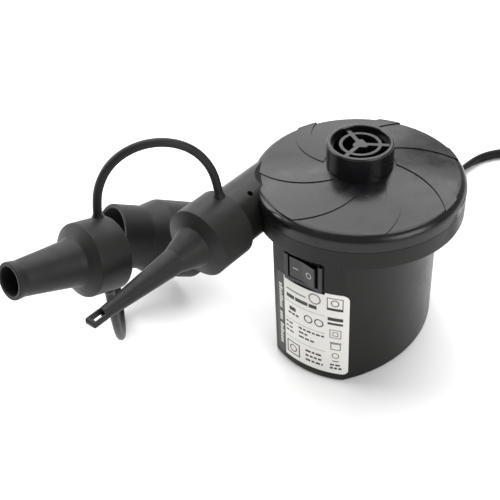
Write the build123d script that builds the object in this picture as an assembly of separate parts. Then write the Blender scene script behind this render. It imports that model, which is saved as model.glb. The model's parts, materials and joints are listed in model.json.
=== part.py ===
from build123d import *
from math import cos, pi, radians, sin, tan
import os

# Electric air mattress pump, in millimetres. +Z is up and the origin is the middle of the base.
# The rocker switch and the rating label face -Y. The outlet spout leaves tangentially towards -Y.

# --- Housing ---
FRONT_R = 48.5            # front and rear faces, arcs about the pump's axis
SIDE_R = 69.4             # the flatter left and right faces
SIDE_X = 36.4             # half width across the side faces
CORNER_R = 4.0
BASE_EDGE_R = 2.0
WALL = 2.4
RIM_Z = 78.8              # underside of the flange that carries the cover
RIM_FLOOR = 2.2
SEAM_Z = 88.7             # parting line between housing and cover
COVER_R = 52.5

# --- Cooling slots, two banks low in the rear face ---
VENT_COUNT = 5
VENT_START, VENT_STEP = 22.0, 5.5         # degrees from the rear's middle, and between slots
VENT_SIZE = (2.2, 26.0)                   # width and height
VENT_Z = 24.0

# --- Top cover with the inlet port ---
COVER_WALL = 2.2
EDGE_Z = 97.4             # where the rounded edge meets the dome
EDGE_R = 4.6
DOME_Z = 101.5            # dome height at the foot of the port
PORT_R = 16.3
PORT_BORE_R = 14.1
PORT_TOP = 114.7
SEAM_GAP = 0.25

# --- Swirl bands on the dome, seven of them ---
BAND_COUNT = 7
BAND_HEIGHT = 0.45
BAND_RADII = (17.8, 34.0, 50.2)
BAND_EDGE_A = (-16.5, -37.5, -56.0)      # degrees at those radii, clockwise edge
BAND_EDGE_B = (1.2, -22.0, -43.4)        # the other edge

# --- Outlet spout ---
SPOUT_X, SPOUT_Z = -37.7, 84.5           # where its axis crosses the plane Y = 0
SPOUT_YAW = 1.34                         # degrees away from -Y towards -X
SPOUT_R = 14.7
SPOUT_BORE_R = 12.4
SPOUT_START, SPOUT_END = 12.0, 74.8      # along its axis
SPOUT_WINDOW_TOP = 92.6                  # the way through the cover's wall stays below its rounded edge
VENT_HOLE_R = 1.3
VENT_HOLE_PLACE = (6.5, 44.8)            # to the right of the spout's crown, and along its axis

# --- Impeller ---
IMPELLER_R = 39.0
IMPELLER_Z = 84.6
IMPELLER_PLATE = 1.6
BLADE_TIP_Z = 94.3
BLADE_ROOT_Z = 96.6
BLADE_COUNT = 12
SCREW_TOP = 94.0
BLADE_T = 1.4
HUB_R = 6.5
BUSH_R = 4.0

# --- Volute floor, which carries the motor ---
FLOOR_TOP = 83.4
FLOOR_T = 2.2
FLOOR_R = 50.0

# --- Motor ---
CAN_R = 18.8
CAN_BOTTOM, CAN_TOP = 24.0, 79.4
CAN_WALL = 1.2
MAGNET_T = 3.4
CORE_R = 13.6
CORE_Z = (38.0, 64.0)
SHAFT_R = 1.6
SHAFT_Z = (19.0, 92.5)
BEARING_R = 4.5
RUNNING_GAP = 0.04

# --- Rocker switch ---
PANEL_W, PANEL_Z = 22.0, (57.9, 73.9)
PANEL_FACE_Y = -48.0
PANEL_BACK_Y = -46.7
PANEL_GROOVE = 0.95                       # open groove down the panel's right end
ROCKER_W, ROCKER_H = 16.0, 12.0
SWITCH_Z = 66.6
ROCKER_TILT = 6.0                         # degrees either side of level
ROCKER_PIVOT_Y = -44.8
ROCKER_PROUD = 0.5                        # how far its ends stand out from the panel, when level
ROCKER_DISH = 0.6                         # depth of the shallow valley between its two faces
TRUNNION_R, TRUNNION_LENGTH = 1.1, 0.7    # stubs above and below the rocker that it turns on
TRUNNION_GAP = 0.06
SWITCH_BODY_W, SWITCH_BODY_Z = 19.4, (59.3, 73.9)
SWITCH_BACK_Y = -30.0
ROCKER_GAP_W, ROCKER_GAP_H = 0.8, 0.3     # round the rocker in its well

# --- Rating label ---
LABEL_T = 0.15
LABEL_Z = (5.5, 59.0)
LABEL_ANGLES = (-111.8, -61.0)
LABEL_CORNER_R = 3.0

# --- Nozzles, each with the skirt's open rim as its local origin ---
SKIRT_R = 17.15
SKIRT_BORE_R = 14.78
NARROW_RIM = 56.4                         # along the spout's axis
MEDIUM_RIM = Vector(-68.3, -104.0, 84.8)
MEDIUM_AIM = (7.6, 15.3)                  # yaw from -Y towards -X, then pitch up
LARGE_RIM = Vector(-115.9, -62.6, 46.3)
LARGE_AIM = (202.5, -25.7)
MOUTH_R, MOUTH_BORE_R = 21.3, 19.1        # wide end of the large nozzle
NEEDLE_LENGTH = 79.1                      # narrow nozzle, to the foot of its slotted tip
EYE_R, EYE_LENGTH, EYE_HALF_T = 3.1, 8.0, 1.5
EYE_WINDOW_W, EYE_WINDOW = 4.0, 6.0

# --- Straps between the nozzles ---
STRAP_R = 2.05
STRAP_GAP = 0.35                          # at the narrow nozzle
REAR_STRAP_GAP = 1.0                      # at the medium nozzle, whose skirt is tilted
FRONT_STRAP_RISE, REAR_STRAP_DROP = 35.0, -42.0

# --- Mains cord, a flat twin lead; its tube takes the lead's width ---
CORD_D = 6.0
CORD_EXIT = (0.0, 48.6, 15.0)
RELIEF_LENGTH = 32.0
COIL_CENTRE = (55.0, 175.0)
COIL_TURN_R = 31.0                        # middle of the turns
COIL_COLUMNS, COIL_LAYERS = 2, 3
CORD_ROUTE = [
    (0.0, 80.6, 15.0),
    (-1.0, 97.0, 13.4),
    (-5.0, 113.0, 9.6),
    (-11.5, 129.0, 6.2),
    (-18.0, 146.0, 4.3),
    (-20.0, 163.0, 3.2),
    (-15.5, 180.0, 3.2),
    (-5.0, 194.5, 3.2),
    (10.0, 204.5, 3.2),
    (29.0, 208.5, 3.2),
    (48.0, 208.8, 3.2),
]
TAIL_ROUTE = [
    (88.8, 172.0, 15.0),
    (89.4, 162.0, 14.3),
    (89.8, 150.5, 10.9),
    (90.0, 138.5, 7.8),
    (90.0, 129.0, 7.2),
]

# --- Plug, a flat two-pin one that lies beside the coil ---
PLUG_END = (90.0, 129.0, 7.2)             # where the lead enters it
PLUG_RELIEF = 16.0
PLUG_BODY = (34.0, 25.0, 13.6)            # length, width, thickness
PIN_R, PIN_LENGTH, PIN_SPACING = 2.0, 19.0, 18.6

NODES = {}


def polar(radius, angle):
    """A plan point at a radius and an angle in degrees."""
    return (radius * cos(radians(angle)), radius * sin(radians(angle)))


def ring(outer, inner, low, high):
    """A straight tube about the pump's axis."""
    tube = Cylinder(outer, high - low) - Cylinder(inner, high - low)
    return Pos(0, 0, (low + high) / 2) * tube


def rod(radius, low, high, at=(0.0, 0.0)):
    """An upright cylinder between two heights."""
    return Pos(at[0], at[1], (low + high) / 2) * Cylinder(radius, high - low)


def block(x, y, z):
    """A box given by its low and high limits along each axis."""
    size = Box(x[1] - x[0], y[1] - y[0], z[1] - z[0])
    return Pos((x[0] + x[1]) / 2, (y[0] + y[1]) / 2, (z[0] + z[1]) / 2) * size


def turned(*points):
    """A solid turned about Z from a closed outline of (radius, height) points."""
    return revolve(Plane.XZ * make_face(Polyline(*points, close=True)), Axis.Z)


def aim(yaw, pitch=0.0):
    """A direction: yaw from -Y towards -X, then pitch above the horizontal."""
    flat = cos(radians(pitch))
    return Vector(-sin(radians(yaw)) * flat, -cos(radians(yaw)) * flat, sin(radians(pitch)))


def frame_along(origin, direction):
    """A plane whose z runs along a direction and whose y points as far up as it can."""
    return Plane(origin=origin, x_dir=Vector(0, 0, 1).cross(direction), z_dir=direction)


SPOUT_DIR = aim(SPOUT_YAW)
SPOUT_FRAME = frame_along(Vector(SPOUT_X, 0, SPOUT_Z), SPOUT_DIR)
NARROW_FRAME = frame_along(SPOUT_FRAME.from_local_coords(Vector(0, 0, NARROW_RIM)), SPOUT_DIR)
MEDIUM_FRAME = frame_along(MEDIUM_RIM, aim(*MEDIUM_AIM))
LARGE_FRAME = frame_along(LARGE_RIM, aim(*LARGE_AIM))


def along_spout(radius, start, end):
    """A cylinder about the spout's axis."""
    return SPOUT_FRAME * (Pos(0, 0, (start + end) / 2) * Cylinder(radius, end - start))


def body_plan(inset=0.0):
    """The housing's barrel outline: round front and rear, flatter curved sides."""
    offset = SIDE_R - SIDE_X
    right = Pos(offset, 0) * Circle(SIDE_R - inset)
    left = Pos(-offset, 0) * Circle(SIDE_R - inset)
    plan = Circle(FRONT_R - inset) & right & left
    corners = [v for v in plan.vertices() if abs(v.Y) > SIDE_X / 2]
    return fillet(corners, max(CORNER_R - inset, 1.0))


def body_block(inset, low, high):
    """The barrel outline as an upright block."""
    return Pos(0, 0, low) * extrude(body_plan(inset), high - low)


# ---------------------------------------------------------------- casings

def vent_slots():
    """Two banks of upright cooling slots low in the rear face."""
    slots = []
    for side in (-1, 1):
        for step in range(VENT_COUNT):
            angle = 90 + side * (VENT_START + VENT_STEP * step)
            slots.append(Rot(0, 0, angle) * Pos(FRONT_R, 0, VENT_Z) * Box(12, *VENT_SIZE))
    return slots


def motor_housing():
    """A deep cup with a flared flange, closed at the base."""
    cup = body_block(0, 0, RIM_Z + 1)
    foot = cup.edges().filter_by_position(Axis.Z, -0.01, 0.01)
    cup = fillet(foot, BASE_EDGE_R)
    flange = ring(COVER_R, 20, RIM_Z, SEAM_Z)
    flange = fillet(flange.edges().group_by(Axis.Z)[0].sort_by(SortBy.RADIUS)[-1], 0.8)
    shell = cup + flange
    shell -= body_block(WALL, 2.6, RIM_Z + 3)
    shell -= ring(COVER_R - COVER_WALL, 1, RIM_Z + RIM_FLOOR, SEAM_Z + 1)
    shell -= along_spout(SPOUT_BORE_R, SPOUT_START + 4, 60) & rod(60, RIM_Z + RIM_FLOOR, SEAM_Z + 1)
    seat = (-PANEL_W / 2 - 0.25, PANEL_W / 2 + PANEL_GROOVE)
    shell -= block(seat, (-60, PANEL_BACK_Y), (PANEL_Z[0] - 0.25, RIM_Z))
    hole = SWITCH_BODY_W / 2 + 0.3
    shell -= block((-hole, hole), (-60, -40), (SWITCH_BODY_Z[0] - 0.2, RIM_Z - 0.6))
    shell -= Pos(0, FRONT_R, CORD_EXIT[2]) * Rot(90, 0, 0) * Cylinder(5.05, 12)
    for slot in vent_slots():
        shell -= slot
    for x, y in cover_screw_places():
        shell -= rod(1.7, RIM_Z - 1, RIM_Z + 5, (x, y))
    return shell


def cover_screw_places():
    """Screws come up through the flange where it overhangs the sides."""
    return [(44.5, -13.0), (44.5, 13.0), (-44.5, 13.0), (-44.5, 0.0)]


def dome_height(radius):
    """Height of the dome's outer surface between the edge and the port."""
    reach = (radius - PORT_R) / (COVER_R - EDGE_R - PORT_R)
    return DOME_Z + (EDGE_Z - DOME_Z) * reach


def cover_profile():
    """The cover's section: wall, rounded edge, dome and inlet port."""
    wall = COVER_R - COVER_WALL
    top = EDGE_Z - EDGE_R
    edge = EDGE_R * (1 - cos(pi / 4))
    outside = [
        Line((COVER_R, SEAM_Z + SEAM_GAP), (COVER_R, top)),
        ThreePointArc((COVER_R, top), (COVER_R - edge, EDGE_Z - edge), (COVER_R - EDGE_R, EDGE_Z)),
        Line((COVER_R - EDGE_R, EDGE_Z), (PORT_R, DOME_Z)),
        Line((PORT_R, DOME_Z), (PORT_R, PORT_TOP - 0.9)),
        ThreePointArc((PORT_R, PORT_TOP - 0.9), (PORT_R - 0.26, PORT_TOP - 0.26), (PORT_R - 0.9, PORT_TOP)),
    ]
    inside = Polyline(
        (PORT_R - 0.9, PORT_TOP),
        (PORT_BORE_R + 0.3, PORT_TOP),
        (PORT_BORE_R, PORT_TOP - 0.4),
        (PORT_BORE_R, DOME_Z - COVER_WALL - 0.3),
        (COVER_R - EDGE_R - 1.0, EDGE_Z - COVER_WALL),
        (wall, top - 1.0),
        (wall, SEAM_Z + SEAM_GAP),
        (COVER_R, SEAM_Z + SEAM_GAP),
    )
    return make_face(outside + [inside])


def swirl_band(turn):
    """One raised, curved band that widens from the port to the edge."""
    def arc(angles):
        return ThreePointArc(*[polar(r, a + turn) for r, a in zip(BAND_RADII, angles)])

    edge_a = arc(BAND_EDGE_A)
    edge_b = arc(BAND_EDGE_B)
    inner = Line(edge_a @ 0, edge_b @ 0)
    middle = polar(BAND_RADII[2], (BAND_EDGE_A[2] + BAND_EDGE_B[2]) / 2 + turn)
    outer = ThreePointArc(edge_a @ 1, middle, edge_b @ 1)
    prism = extrude(make_face([edge_a, edge_b, inner, outer]), 20)
    return Pos(0, 0, SEAM_Z) * prism


def band_skin():
    """The thin turned layer that the raised bands are cut from."""
    low, high = PORT_R + 0.3, 50.4
    end = dome_height(COVER_R - EDGE_R) - 0.8
    return turned(
        (low, dome_height(low) - 0.6),
        (COVER_R - EDGE_R, dome_height(COVER_R - EDGE_R) - 0.6),
        (high, end - 1.4),
        (high, end + 1.0),
        (COVER_R - EDGE_R, EDGE_Z + BAND_HEIGHT),
        (low, dome_height(low) + BAND_HEIGHT),
    )


def top_cover():
    """Round cover with the inlet port, the swirl bands and four screw bosses."""
    cover = revolve(Plane.XZ * cover_profile(), Axis.Z)
    skin = band_skin()
    for index in range(BAND_COUNT):
        cover += swirl_band(360 / BAND_COUNT * index) & skin
    for x, y in cover_screw_places():
        boss = rod(3.4, FLOOR_TOP + 0.1, EDGE_Z - 1.9, (x, y))
        cover += boss - rod(1.35, FLOOR_TOP, SCREW_TOP, (x, y))
    cover -= along_spout(SPOUT_BORE_R, SPOUT_START + 10, 60) & rod(60, RIM_Z, SPOUT_WINDOW_TOP)
    return cover


def inlet_grille():
    """Finger guard in the port: a blunt three-sided hub, three spokes and one ring."""
    low, high = PORT_TOP - 3.4, PORT_TOP - 1.4
    hub = Triangle(a=9.6, b=9.6, c=9.6, rotation=30)
    hub = fillet(hub.vertices(), 1.6)
    guard = Pos(0, 0, low) * extrude(hub, high - low)
    guard += ring(10.2, 8.6, low, high)
    for angle in (-90, 30, 150):
        spoke = Rot(0, 0, angle) * Pos(7.4, 0, (low + high) / 2) * Box(12.8, 2.1, high - low)
        guard += spoke
    guard &= rod(PORT_BORE_R, low, high)
    guard += ring(PORT_BORE_R - 0.02, PORT_BORE_R - 1.1, low - 2.2, low)
    return guard


def cover_envelope(gap=0.05):
    """All that lies inside the cover, and above a slope that rises outwards from its rounded edge."""
    wall, low, start = COVER_R + gap, RIM_Z - gap, EDGE_Z - EDGE_R
    edge = EDGE_R * (1 - cos(pi / 4)) - gap
    rounded = ThreePointArc((wall, start), (COVER_R - edge, EDGE_Z - edge), (COVER_R - EDGE_R, EDGE_Z + gap))
    above = Polyline(
        (COVER_R - EDGE_R, EDGE_Z + gap), (COVER_R + 1.5, EDGE_Z + 3.6), (COVER_R + 1.5, 130), (0, 130),
        (0, low), (wall, low), (wall, start),
    )
    return revolve(Plane.XZ * make_face([rounded, above]), Axis.Z)


def outlet_spout():
    """Discharge tube that hugs the cover's wall and rounded edge and runs back under the flange."""
    window = along_spout(SPOUT_BORE_R, SPOUT_START - 1, 53) & rod(80, 60, SPOUT_WINDOW_TOP)
    spout = along_spout(SPOUT_R, SPOUT_START, SPOUT_END) - along_spout(SPOUT_BORE_R, 52, 80) - window
    spout -= cover_envelope()
    spout -= top_cover()
    spout -= body_block(-0.05, 0, RIM_Z)
    side, station = VENT_HOLE_PLACE
    spout -= SPOUT_FRAME * (Pos(side, SPOUT_R, station) * Rot(90, 0, 0) * Cylinder(VENT_HOLE_R, 12))
    lip = spout.edges().filter_by(GeomType.CIRCLE).sort_by(Axis.Y)[0]
    return max(fillet(lip, 0.6).solids(), key=lambda s: s.volume)


def volute_floor():
    """Plate between motor and impeller, with a cup that centres the motor."""
    low = FLOOR_TOP - FLOOR_T
    plate = rod(FLOOR_R, low, FLOOR_TOP)
    plate += ring(25.0, 22.4, 69.5, low)
    plate -= rod(HUB_R + 1.5, low - 1, FLOOR_TOP + 1)
    plate -= along_spout(SPOUT_BORE_R + 0.1, 8, 60)
    for x, y in cover_screw_places():
        plate -= rod(1.7, low - 1, FLOOR_TOP + 1, (x, y))
    for x, y in motor_screw_places():
        plate -= rod(1.65, low - 1, FLOOR_TOP + 1, (x, y))
    return plate


def motor_screw_places():
    """Two screws hold the motor's face to the floor plate."""
    return [(12.5, 0.0), (-12.5, 0.0)]


def screw(radius, head_r, head_t, length):
    """A pan-head screw standing on its head's bearing face, shank up."""
    shank = rod(radius, 0, length)
    head = rod(head_r, -head_t, 0)
    head = fillet(head.edges().group_by(Axis.Z)[0], head_t * 0.4)
    slot_a = block((-head_r * 0.6, head_r * 0.6), (-0.35, 0.35), (-head_t - 0.1, -head_t + 0.8))
    return shank + head - slot_a - Rot(0, 0, 90) * slot_a


def cover_screws():
    """Four self-tapping screws, up through the flange into the cover's bosses."""
    one = screw(1.3, 2.7, 1.8, 13.5)
    return [Pos(x, y, RIM_Z) * one for x, y in cover_screw_places()]


def motor_screws():
    """Two screws, down through the floor plate into the motor's face."""
    one = Rot(180, 0, 0) * screw(1.2, 2.3, 0.9, 6.0)
    return [Pos(x, y, FLOOR_TOP) * one for x, y in motor_screw_places()]


# ---------------------------------------------------------------- switch and label

def switch_frame():
    """Bezel and body of the snap-in rocker switch."""
    wide, body = PANEL_W / 2, SWITCH_BODY_W / 2
    frame = block((-wide, wide), (PANEL_FACE_Y, PANEL_BACK_Y), PANEL_Z)
    frame = fillet(frame.edges().group_by(Axis.Y)[0], 0.4)
    frame += block((-body, body), (PANEL_BACK_Y - 0.05, SWITCH_BACK_Y), SWITCH_BODY_Z)
    half_w, half_h = ROCKER_W / 2 + ROCKER_GAP_W, ROCKER_H / 2 + ROCKER_GAP_H
    frame -= block((-half_w, half_w), (-60, -39.5), (SWITCH_Z - half_h, SWITCH_Z + half_h))
    frame -= block((-half_w, half_w), (-60, PANEL_BACK_Y + 0.1), (SWITCH_Z, PANEL_Z[1] + 1))
    return frame - trunnions(TRUNNION_GAP)


def trunnions(gap=0.0):
    """The rocker's upright pivot, from just below it to just above it."""
    reach = ROCKER_H / 2 + TRUNNION_LENGTH + gap
    return rod(TRUNNION_R + gap, SWITCH_Z - reach, SWITCH_Z + reach, (0, ROCKER_PIVOT_Y))


def rocker():
    """Tilting button: two faces that meet in a shallow ridge, on two stub trunnions."""
    half = ROCKER_W / 2
    front = PANEL_FACE_Y - ROCKER_PROUD
    outline = Polyline(
        (-half, front), (0, front + ROCKER_DISH), (half, front),
        (half - 0.7, ROCKER_PIVOT_Y + 0.6), (2.2, ROCKER_PIVOT_Y + 2.6),
        (-2.2, ROCKER_PIVOT_Y + 2.6), (-half + 0.7, ROCKER_PIVOT_Y + 0.6), close=True,
    )
    body = Pos(0, 0, SWITCH_Z - ROCKER_H / 2) * extrude(make_face(outline), ROCKER_H)
    body = fillet(body.edges().filter_by(Axis.Z).group_by(Axis.Y)[0], 0.4)
    tilted = Pos(0, ROCKER_PIVOT_Y) * Rot(0, 0, -ROCKER_TILT) * Pos(0, -ROCKER_PIVOT_Y) * body
    return tilted + trunnions()


def switch_terminals():
    """Three brass blade terminals at the back of the switch."""
    low, high = SWITCH_Z - 3.1, SWITCH_Z + 1.7
    y = (SWITCH_BACK_Y + 0.02, SWITCH_BACK_Y + 4.4)
    return [block((x - 0.4, x + 0.4), y, (low, high)) for x in (-7.0, 0.0, 7.0)]


def rating_label():
    """A thin sticker on the front face, notched round the switch panel."""
    skin = ring(FRONT_R + LABEL_T, FRONT_R + 0.01, *LABEL_Z)
    left = polar(FRONT_R, LABEL_ANGLES[0])[0]
    right = polar(FRONT_R, LABEL_ANGLES[1])[0]
    wide, tall = right - left, LABEL_Z[1] - LABEL_Z[0]
    window = RectangleRounded(wide, tall, LABEL_CORNER_R)
    window = Plane.XZ * (Pos((left + right) / 2, sum(LABEL_Z) / 2) * window)
    label = skin & extrude(window, 60)
    notch = block((-PANEL_W / 2 - 0.6, PANEL_W / 2 + PANEL_GROOVE + 0.2), (-60, -30), (PANEL_Z[0] - 0.3, 90))
    return label - notch


# ---------------------------------------------------------------- motor

def motor_can():
    """Drawn steel can with a bearing seat in its top face."""
    can = rod(CAN_R, CAN_BOTTOM, CAN_TOP)
    can = fillet(can.edges().group_by(Axis.Z)[-1], 1.0)
    can -= rod(CAN_R - CAN_WALL, CAN_BOTTOM - 1, CAN_TOP - CAN_WALL)
    can += ring(BEARING_R + 1.2, BEARING_R, CAN_TOP - 3.4, CAN_TOP - CAN_WALL)
    can -= rod(BEARING_R, CAN_TOP - 4, CAN_TOP + 1)
    for x, y in motor_screw_places():
        can -= rod(1.25, CAN_TOP - 3, CAN_TOP + 1, (x, y))
    return can


def magnets():
    """Two ceramic arc magnets against the can's wall."""
    outer = CAN_R - CAN_WALL - 0.05
    shells = ring(outer, outer - MAGNET_T, CORE_Z[0] - 3, CORE_Z[1] + 3)
    gap = block((-4.5, 4.5), (-30, 30), (0, 90))
    return list((shells - gap).solids())


def motor_end_cap():
    """Moulded end cap with the lower bearing's seat and openings for the brushes."""
    cap = rod(CAN_R - CAN_WALL - 0.05, CAN_BOTTOM, CAN_BOTTOM + 2.6)
    cap += ring(CAN_R, CAN_R - 4, CAN_BOTTOM - 1.6, CAN_BOTTOM - 0.02)
    cap += rod(CAN_R - 3.9, CAN_BOTTOM - 1.6, CAN_BOTTOM + 0.1)
    cap += ring(BEARING_R + 1.6, BEARING_R, CAN_BOTTOM - 4.0, CAN_BOTTOM)
    cap -= rod(BEARING_R, CAN_BOTTOM - 5, CAN_BOTTOM + 4)
    for side in (-1, 1):
        cap -= block((side * 12.5 - 1.2, side * 12.5 + 1.2), (-4, 4), (CAN_BOTTOM - 3, CAN_BOTTOM + 4))
    return cap


def bearing(low, high):
    """Sintered bush that the shaft runs in."""
    return ring(BEARING_R - 0.02, SHAFT_R + RUNNING_GAP, low, high)


def shaft():
    """Ground steel shaft from the end cap to the impeller."""
    pin = rod(SHAFT_R, *SHAFT_Z)
    return chamfer(pin.edges().filter_by(GeomType.CIRCLE), 0.3)


def armature_core():
    """Laminated core with five slots."""
    core = ring(CORE_R, SHAFT_R, *CORE_Z)
    for index in range(5):
        turn = Rot(0, 0, 72 * index)
        core -= turn * block((10.9, CORE_R + 1), (-1.1, 1.1), (CORE_Z[0] - 1, CORE_Z[1] + 1))
        core -= turn * Pos(8.6, 0, sum(CORE_Z) / 2) * Cylinder(2.9, 40)
    return core


def armature_windings():
    """Five copper coils bedded in the slots, bulging past the core's ends."""
    low, high = CORE_Z[0] - 4, CORE_Z[1] + 4
    upper = ring(10.8, 4.6, CORE_Z[1] + 0.05, high)
    lower = ring(10.8, 4.6, low, CORE_Z[0] - 0.05)
    coils = fillet(upper.edges().group_by(Axis.Z)[-1], 1.6)
    coils += fillet(lower.edges().group_by(Axis.Z)[0], 1.6)
    for index in range(5):
        coils += Rot(0, 0, 72 * index) * Pos(8.35, 0, (low + high) / 2) * Cylinder(2.2, high - low - 3)
    return coils


def commutator():
    """Copper commutator in five segments on a moulded sleeve."""
    drum = ring(4.2, SHAFT_R, 28.5, 33.6)
    for index in range(5):
        slit = block((2.6, 5), (-0.2, 0.2), (28.5, 32.8))
        drum -= Rot(0, 0, 72 * index + 36) * slit
    return drum


def carbon_brushes():
    """Two carbon blocks that press on the commutator."""
    return [
        block((4.26, 9.2), (-1.9, 1.9), (29.0, 32.4)),
        block((-9.2, -4.26), (-1.9, 1.9), (29.0, 32.4)),
    ]


def brush_arms():
    """Two sprung brass arms that carry the brushes and pass down through the end cap."""
    arms = []
    for side in (-1, 1):
        blade = block((9.3, 12.9), (-1.8, 1.8), (30.4, 31.0))
        blade += block((12.3, 12.9), (-1.8, 1.8), (18.0, 31.0))
        arms.append(blade if side > 0 else mirror(blade, Plane.YZ))
    return arms


def rectifier_board():
    """Round circuit board under the motor."""
    board = rod(15.5, 15.6, 17.2)
    for side in (-1, 1):
        board -= block((side * 12.6 - 0.5, side * 12.6 + 0.5), (-2.1, 2.1), (15, 18))
    return board


def rectifier_diodes():
    """Four diodes and their leads on the underside of the board."""
    parts = []
    for index, y in enumerate((-7.5, -2.5, 2.5, 7.5)):
        diode = Pos(0, y, 14.05) * Rot(0, 90, 0) * Cylinder(1.35, 5.2)
        diode += Pos(0, y, 14.05) * Rot(0, 90, 0) * Cylinder(0.4, 9.0)
        parts.append(diode)
    return parts


def damper_ring():
    """Rubber ring that centres the motor in the floor plate's cup."""
    return ring(22.3, CAN_R + 0.05, 70.0, 78.0)


# ---------------------------------------------------------------- impeller

def impeller():
    """Backward-curved centrifugal impeller, open on its upper side."""
    disc = rod(IMPELLER_R, IMPELLER_Z, IMPELLER_Z + IMPELLER_PLATE)
    disc += rod(HUB_R, IMPELLER_Z, IMPELLER_Z + 9.4)
    radii = (11.0, 25.0, IMPELLER_R - 0.4)
    arc = ThreePointArc(*[polar(r, a) for r, a in zip(radii, (0.0, -24.0, -38.0))])
    blade = Pos(0, 0, IMPELLER_Z + 0.5) * extrude(trace(arc, BLADE_T), BLADE_ROOT_Z - IMPELLER_Z)
    envelope = turned(
        (8, IMPELLER_Z), (IMPELLER_R, IMPELLER_Z), (IMPELLER_R, BLADE_TIP_Z),
        (16, BLADE_ROOT_Z), (8, BLADE_ROOT_Z),
    )
    blade &= envelope
    for index in range(BLADE_COUNT):
        disc += Rot(0, 0, 360 / BLADE_COUNT * index) * blade
    return disc - rod(BUSH_R, IMPELLER_Z - 1, IMPELLER_Z + 20)


def impeller_bush():
    """Brass bush pressed between shaft and impeller."""
    return ring(BUSH_R, SHAFT_R, IMPELLER_Z, IMPELLER_Z + 7.9)


# ---------------------------------------------------------------- nozzles and straps

def hollow_turned(outside, inside):
    """A hollow of revolution: outer points from rim to tip, inner points back again."""
    return turned(*outside, *reversed(inside))


def nozzle_narrow():
    """Needle nozzle: skirt, flat shoulder, cone, long thin tube and a slotted tip."""
    tip, end = NEEDLE_LENGTH, NEEDLE_LENGTH + EYE_LENGTH
    body = hollow_turned(
        [(SKIRT_R, 0), (SKIRT_R, 19.9), (10.3, 22.4), (6.2, 35.8), (2.9, tip)],
        [(SKIRT_BORE_R, 0), (SKIRT_BORE_R, 19.0), (8.4, 21.0), (4.4, 36.0), (1.6, tip)],
    )
    eye = rod(EYE_R, tip, end) & block((-4, 4), (-EYE_HALF_T, EYE_HALF_T), (tip - 1, end + 1))
    eye = chamfer(eye.edges().group_by(Axis.Z)[-1], 0.7)
    eye -= block((-EYE_WINDOW_W / 2, EYE_WINDOW_W / 2), (-4, 4), (tip, tip + EYE_WINDOW))
    return NARROW_FRAME * (body + eye)


def nozzle_medium():
    """Middle nozzle: skirt, chamfered shoulder and a tube with two tapers and a lip."""
    body = hollow_turned(
        [(SKIRT_R, 0), (SKIRT_R, 16.5), (11.4, 19.6), (10.7, 22.5), (9.4, 34.0), (8.0, 47.2), (8.45, 50.2),
         (8.45, 51.4), (8.1, 51.8)],
        [(SKIRT_BORE_R, 0), (SKIRT_BORE_R, 15.4), (9.4, 18.2), (8.8, 22.5), (7.6, 34.0), (6.5, 51.8)],
    )
    return MEDIUM_FRAME * body


def nozzle_large():
    """Wide nozzle: skirt that flares to a larger mouth."""
    body = hollow_turned(
        [(SKIRT_R, 0), (SKIRT_R, 17.0), (MOUTH_R, 26.5), (MOUTH_R, 50.0), (MOUTH_R - 0.5, 50.6)],
        [(SKIRT_BORE_R, 0), (SKIRT_BORE_R, 17.6), (MOUTH_BORE_R, 27.0), (MOUTH_BORE_R, 50.6)],
    )
    return LARGE_FRAME * body


def on_skirt(frame, station, angle, clear=0.0):
    """A point on a skirt's surface: distance from the rim, and angle from the top."""
    radius = SKIRT_R + clear
    return frame.from_local_coords(
        Vector(radius * sin(radians(angle)), radius * cos(radians(angle)), station)
    )


def bowed(start, end, rise, roots):
    """Points of a bow between two places: straight at its roots, round at its crown."""
    lift = Vector(0, 0, rise)
    points = [start]
    for part in range(1, 8):
        turn = pi * part / 8
        share = (1 - cos(turn)) / 2
        points.append(start * (1 - share) + end * share + lift * sin(turn) ** 0.8)
    points.append(end)
    points[0:1] = [start, start + roots[0] * 4]
    points[-1:] = [end + roots[1] * 4, end]
    return points


def rounded_path(points, share=0.45):
    """A path of straight runs and tangent arcs, and the arcs' radii."""
    radii = []
    for before, corner, after in zip(points, points[1:], points[2:]):
        run_in, run_out = corner - before, after - corner
        half_turn = radians(run_in.get_angle(run_out)) / 2
        shorter = min(run_in.length, run_out.length)
        radii.append(share * shorter / tan(half_turn))
    return FilletPolyline(*points, radius=radii), radii


def round_sweep(points, radius):
    """A round rod along rounded runs, and the arcs' radii."""
    path, radii = rounded_path(points)
    start = Plane(origin=path @ 0, z_dir=path % 0)
    return sweep(start * Circle(radius), path), radii, path.length


def strap_front():
    """Moulded strap that arches from the narrow nozzle over to the medium one."""
    start = on_skirt(NARROW_FRAME, 2.6, 0, STRAP_GAP)
    end = on_skirt(MEDIUM_FRAME, 3.2, -20, -0.4)
    side = Vector(0, 0, 1)
    return round_sweep(bowed(start, end, FRONT_STRAP_RISE, (side, side)), STRAP_R)[0]


def strap_rear():
    """Moulded strap that hangs in a loop from the medium nozzle to the large one."""
    start = on_skirt(MEDIUM_FRAME, 3.5, 160, REAR_STRAP_GAP)
    end = on_skirt(LARGE_FRAME, 6.0, 180, -0.4)
    side = Vector(0, 0, -1)
    return round_sweep(bowed(start, end, REAR_STRAP_DROP, (side, side)), STRAP_R)[0]


# ---------------------------------------------------------------- mains lead

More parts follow.
